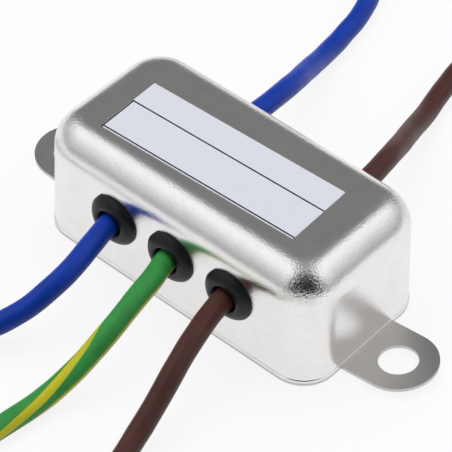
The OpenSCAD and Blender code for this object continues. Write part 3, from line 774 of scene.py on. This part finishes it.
class FILTER_OT_base_plate(bpy.types.Operator):
    """Stamp the base plate, set its ears up and round its edges"""
    bl_idname = "emi_filter.base_plate"
    bl_label = "Base plate"

    def execute(self, context):
        sizes = context.scene.filter_plate
        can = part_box("drawn_can")[1]
        rim = context.scene.filter_can.rim
        half_x, half_y = can.x - rim + sizes.proud, can.y - rim + sizes.proud
        bend_x = can.x + rim
        sheet = bmesh.new()
        hole = [sizes.hole / 2 * Vector((cos(a), sin(a), 0)) for a in turns(2 * pi, 64)[:-1]]
        pins = [Vector((side * sizes.ear_pitch / 2, 0, 0)) for side in (1, -1)]
        loops = [plate_outline(sizes, half_x, half_y)]
        loops += [[pin + p for p in hole] for pin in pins]
        edges = []
        for loop in loops:
            ring = [sheet.verts.new(p) for p in loop]
            edges += [sheet.edges.new(pair) for pair in zip(ring, ring[1:] + ring[:1])]
        bmesh.ops.triangle_fill(sheet, use_beauty=True, edges=edges)
        # Cuts across both bends, so that the sheet can turn there
        for side in (1, -1):
            for off in (-0.25, 0, 0.25):
                bmesh.ops.bisect_plane(
                    sheet, geom=sheet.verts[:] + sheet.edges[:] + sheet.faces[:],
                    plane_co=(side * (bend_x + off * MM), 0, 0), plane_no=(1, 0, 0))
        for vertex in sheet.verts:
            past = abs(vertex.co.x) - bend_x
            lean = tan(sizes.set_right if vertex.co.x > 0 else sizes.set_left)
            vertex.co.z = lean * max(0, past)
        for face in sheet.faces:
            if face.normal.z < 0:
                face.normal_flip()
            face.smooth = True
        mesh = bpy.data.meshes.new("base_plate_sheet")
        sheet.to_mesh(mesh)
        sheet.free()
        mesh = baked(mesh, [
            ("SOLIDIFY", {"thickness": sizes.sheet, "offset": 1, "use_even_offset": True}),
            ("BEVEL", {"width": sizes.edge, "segments": 2, "limit_method": "ANGLE",
                       "angle_limit": radians(50), "harden_normals": True})])
        finish = plated_steel("nickel_plated_steel_stamped", sizes)
        new_piece("plate_sheet", mesh, finish, "base_plate", slot="base_plating")
        return {"FINISHED"}


# ---- Grommets ----

def grommet_profile(sizes, wall):
    """Distance from the wall's outside and radius of each ring, from the bore inwards."""
    flange, mouth, bore, neck, inner = (
        size / 2 for size in (sizes.flange, sizes.mouth, sizes.bore, sizes.neck, sizes.inner))
    edge, lip_size, proud = sizes.edge, sizes.lip, sizes.proud
    quarter = turns(pi / 2, 12)
    dome = [(edge + (proud - edge) * sin(a) ** 1.25,
             flange - (flange - mouth - lip_size) * (1 - cos(a)) ** 0.85) for a in quarter]
    lip = [(proud - 0.2 * MM * (1 - cos(a)), mouth + lip_size * (1 - sin(a)))
           for a in quarter[3::3]]
    throat = [(proud - 0.35 * MM, bore + 0.06 * MM), (proud - 0.6 * MM, bore)]
    inside = [(-wall - 0.9 * MM, bore), (-wall - 0.98 * MM, bore + 0.15 * MM),
              (-wall - 0.98 * MM, inner - 0.6 * MM), (-wall - 0.85 * MM, inner - 0.45 * MM),
              (-wall - 0.1 * MM, inner), (-wall, inner - 0.1 * MM), (-wall, neck)]
    foot = [(0, neck), (0, flange - 0.12 * MM), (0.04 * MM, flange - 0.03 * MM),
            (0.1 * MM, flange)]
    return foot + dome + lip + throat + inside


class FILTER_OT_grommets(bpy.types.Operator):
    """Turn the five domed rubber grommets, each with the nib that its mould left"""
    bl_idname = "emi_filter.grommets"
    bl_label = "Grommets"

    def execute(self, context):
        sizes = context.scene.filter_grommets
        can = context.scene.filter_can
        finish = black_rubber(sizes)
        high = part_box("drawn_can")[1]
        # The nib sits at one side of the many, and reaches a side and a half either way
        sides, nib_side, nib_reach = 72, 26, 1.5
        profile = grommet_profile(sizes, can.sheet)
        for name, route in ROUTES.items():
            centre = Vector(route[0])
            out = 1 if centre.y > 0 else -1
            wall_y = out * (high.y - can.rim)
            rings = []
            for depth, radius in profile:
                ring = []
                for step, a in enumerate(turns(2 * pi, sides)[:-1]):
                    nib = sizes.nib * max(0, 1 - abs(step - nib_side) / nib_reach)
                    reach = radius + (nib if radius > 0.98 * sizes.flange / 2 else 0)
                    reach = min(reach, sizes.flange / 2 + 0.08 * MM)
                    ring.append(Vector((centre.x + reach * cos(a), wall_y + out * depth,
                                        centre.z + reach * sin(a))))
                rings.append(ring)
            # The last ring meets the first, and their doubles are merged
            mesh = skin_rings(name, rings + rings[:1])
            skin = bmesh.new()
            skin.from_mesh(mesh)
            bmesh.ops.remove_doubles(skin, verts=skin.verts, dist=0.001 * MM)
            bmesh.ops.recalc_face_normals(skin, faces=skin.faces)
            skin.to_mesh(mesh)
            skin.free()
            mesh.set_sharp_from_angle(angle=radians(60))
            new_piece("grommet_ring_" + name, mesh, finish, "grommet_" + name,
                      slot="grommet_rubber")
        return {"FINISHED"}


# ---- Label ----

class FILTER_OT_label(bpy.types.Operator):
    """Lay the bare label film on the can's top"""
    bl_idname = "emi_filter.label"
    bl_label = "Label"

    def execute(self, context):
        sizes = context.scene.filter_label
        low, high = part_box("label")
        centre = (low + high) / 2
        turn = Matrix.Rotation(sizes.turn, 4, "Z")
        film = high.z - low.z
        rings = [[turn @ p + Vector((centre.x, centre.y, 0)) for p in plan_ring(
            sizes.length / 2 - inset, sizes.width / 2 - inset, sizes.corner - inset, z)]
            for inset, z in ((0.02 * MM, low.z), (0, low.z + 0.2 * film),
                             (0, high.z - 0.3 * film), (0.01 * MM, high.z - 0.1 * film),
                             (0.04 * MM, high.z), (0.1 * MM, high.z))]
        mesh = skin_rings("label_film", rings, foot=True, top=True)
        mesh.set_sharp_from_angle(angle=radians(50))
        new_piece("label_film", mesh, printed_film(sizes, centre), "label", slot="label_film")
        return {"FINISHED"}


# ---- Inside ----

class FILTER_OT_inside(bpy.types.Operator):
    """Give every part inside the can its own finish"""
    bl_idname = "emi_filter.inside"
    bl_label = "Parts inside"

    def execute(self, context):
        finishes = {slot: moulded(name, colour, roughness, **texture)
                    for slot, (name, colour, roughness, texture) in INSIDE.items()}
        dressed = ("drawn_can", "base_plate", "label", "grommet_", "lead_")
        for part in frame["record"]["subparts"]:
            if not part["node"].startswith(dressed):
                materials = frame["nodes"][part["node"]].data.materials
                materials.clear()
                materials.append(finishes[part["material_slot"]])
        return {"FINISHED"}


# ---- Stage ----

def studio_world(tree, heading):
    """Two tall soft panels, left and right of the camera, in a dim room: what the metal
    mirrors. A direction is measured against the line between the panels, at this heading."""
    direction = add(tree, "TexCoord").outputs["Generated"]
    side, back = (
        add(tree, "VectorMath", {0: direction, 1: axis},
            operation="DOT_PRODUCT").outputs["Value"]
        for axis in ((cos(heading), sin(heading), 0), (-sin(heading), cos(heading), 0)))
    side = add(tree, "Math", {0: side}, operation="ABSOLUTE")
    # Never quite nothing, as it divides
    side = add(tree, "Math", {0: side, 1: 0.001}, operation="MAXIMUM")
    up = add(tree, "SeparateXYZ", {"Vector": direction}).outputs["Z"]
    # How bright a panel is, from its foot to six times its distance up
    rise = add(tree, "Math", {0: up, 1: side}, operation="DIVIDE")
    rise = add(tree, "Math", {0: rise, 1: 6}, operation="DIVIDE")
    panel = add(tree, "ValToRGB", {"Fac": rise}, [
        (0, 0.33), (0.028, 0.45), (0.06, 0.61), (0.092, 0.71), (0.13, 0.85), (0.167, 0.98),
        (0.22, 1.1), (0.28, 1.12), (0.4, 1.12), (0.5, 0.95), (0.67, 0.51), (0.97, 0.33)])
    # How much of the view a panel fills, from its middle to twice its distance across
    across = add(tree, "Math", {0: back, 1: side}, operation="DIVIDE")
    across = add(tree, "Math", {0: across}, operation="ABSOLUTE")
    across = add(tree, "Math", {0: across, 1: 2}, operation="DIVIDE")
    cover = add(tree, "ValToRGB", {"Fac": across}, [
        (0.43, 1), (0.48, 0.72), (0.59, 0.43), (0.67, 0.14), (0.77, 0)])
    # The room is darkest behind the camera, paler beyond the filter and on the ceiling
    room = add(tree, "MapRange", {"Value": back, "From Min": -0.1,
               "From Max": 0.3, "To Min": 0.025, "To Max": 0.21})
    ceiling = add(tree, "MapRange", {"Value": up, "From Min": 0.85, "From Max": 0.97})
    room = add(tree, "Mix", {"Factor": ceiling.outputs[0], "A": room.outputs[0], "B": 0.3})
    light = add(tree, "Mix", {"Factor": cover, 6: room.outputs[0], 7: panel}, data_type="RGBA")
    glow = add(tree, "Background", {"Color": light.outputs[2]})
    # The camera sees the plain pale room round the floor, not the panels
    seen = add(tree, "Background", {"Color": (1, 1, 1, 1)})
    ray = add(tree, "LightPath").outputs["Is Camera Ray"]
    both = add(tree, "MixShader", {0: ray, 1: glow, 2: seen})
    add(tree, "OutputWorld", {"Surface": both})


def pale_floor(settings):
    """Matt white paper sweep: the light that falls on it, lifted towards plain white for
    the camera and for the metal that mirrors it, so that a soft shadow stays."""
    material, tree, place = start_material("matt_paper_sweep")
    tint = mottled(tree, place, 1.5 * MM, 2.0, settings.floor, (0.3, 0.995), (0.7, 1))[1]
    paper = add(tree, "BsdfDiffuse", {"Color": tint})
    glow = add(tree, "Emission", {"Color": (1, 1, 1, 1), "Strength": 1.0})
    rays = add(tree, "LightPath").outputs
    seen = rays["Is Camera Ray"]
    for ray in ("Is Glossy Ray", "Is Transmission Ray"):
        seen = add(tree, "Math", {0: seen, 1: rays[ray]}, operation="MAXIMUM")
    lift = add(tree, "Math", {0: seen, 1: settings.floor_glow}, operation="MULTIPLY")
    both = add(tree, "MixShader", {0: lift, 1: paper, 2: glow})
    add(tree, "OutputMaterial", {"Surface": both})
    return material


class FILTER_OT_stage(bpy.types.Operator):
    """Set the camera, the pale floor, the soft panels and the lamp overhead"""
    bl_idname = "emi_filter.stage"
    bl_label = "Stage"

    def execute(self, context):
        scene = context.scene
        settings = scene.filter_stage
        turn = (Matrix.Rotation(settings.azimuth, 4, "Z")
                @ Matrix.Rotation(pi / 2 - settings.elevation, 4, "X")
                @ Matrix.Rotation(settings.roll, 4, "Z"))
        # The point that the camera looks at, low in the can
        aim = Vector((-2.34, 1.97, 2.945)) * MM
        camera = in_scene("camera", bpy.data.cameras.new("camera"))
        camera.data.lens = settings.lens
        camera.data.clip_start = 1 * MM
        camera.matrix_world = Matrix.Translation(
            aim + turn.to_3x3() @ Vector((0, 0, settings.distance))) @ turn
        scene.camera = camera

        reach = settings.floor_reach
        floor = mesh_of("floor", [(-reach, -reach, 0), (reach, -reach, 0), (reach, reach, 0),
                                  (-reach, reach, 0)], [(0, 1, 2, 3)])
        floor.materials.append(pale_floor(settings))
        sweep = in_scene("floor", floor)
        # Just under the plate, so that the two share no plane
        sweep.location.z = -0.02 * MM

        lamp = bpy.data.lights.new("soft_lamp", "AREA")
        lamp.shape = "DISK"
        lamp.size = settings.lamp_size
        lamp.energy = settings.lamp
        overhead = in_scene("soft_lamp", lamp)
        # Above and a little behind, turned to the filter
        overhead.location = (-0.25, 0.3, 1.1)
        overhead.rotation_euler = (-overhead.location).to_track_quat("-Z", "Y").to_euler()
        overhead.visible_glossy = False

        world = bpy.data.worlds.new("soft_studio")
        world.use_nodes = True
        world.node_tree.nodes.clear()
        studio_world(world.node_tree, settings.panels)
        scene.world = world
        scene.view_settings.view_transform = "Standard"
        return {"FINISHED"}


OPERATORS = [
    FILTER_OT_stage, FILTER_OT_leads, FILTER_OT_can, FILTER_OT_base_plate,
    FILTER_OT_grommets, FILTER_OT_label, FILTER_OT_inside,
]


class FILTER_PT_pieces(bpy.types.Panel):
    """The settings of the pieces and the stage, and a button to make each of them."""
    bl_label = "EMI line filter"
    bl_idname = "FILTER_PT_pieces"
    bl_space_type = "VIEW_3D"
    bl_region_type = "UI"
    bl_category = "Filter"

    def draw(self, context):
        for name, group in GROUPS.items():
            box = self.layout.box()
            box.label(text=group.__doc__)
            for key in group.__annotations__:
                box.prop(getattr(context.scene, name), key)
        for operator in OPERATORS:
            self.layout.operator(operator.bl_idname)


def register():
    """Registers the settings, the operators and the panel."""
    for kind in [*GROUPS.values(), *OPERATORS, FILTER_PT_pieces]:
        bpy.utils.register_class(kind)
    for name, group in GROUPS.items():
        setattr(bpy.types.Scene, name, PointerProperty(type=group))


def unregister():
    """Takes them out again."""
    for name in GROUPS:
        delattr(bpy.types.Scene, name)
    for kind in reversed([*GROUPS.values(), *OPERATORS, FILTER_PT_pieces]):
        bpy.utils.unregister_class(kind)


def main():
    """Makes every piece in order."""
    register()
    bpy.ops.emi_filter.stage()
    bpy.ops.emi_filter.leads()
    bpy.ops.emi_filter.can()
    bpy.ops.emi_filter.base_plate()
    bpy.ops.emi_filter.grommets()
    bpy.ops.emi_filter.label()
    bpy.ops.emi_filter.inside()


if __name__ == "__main__":
    main()
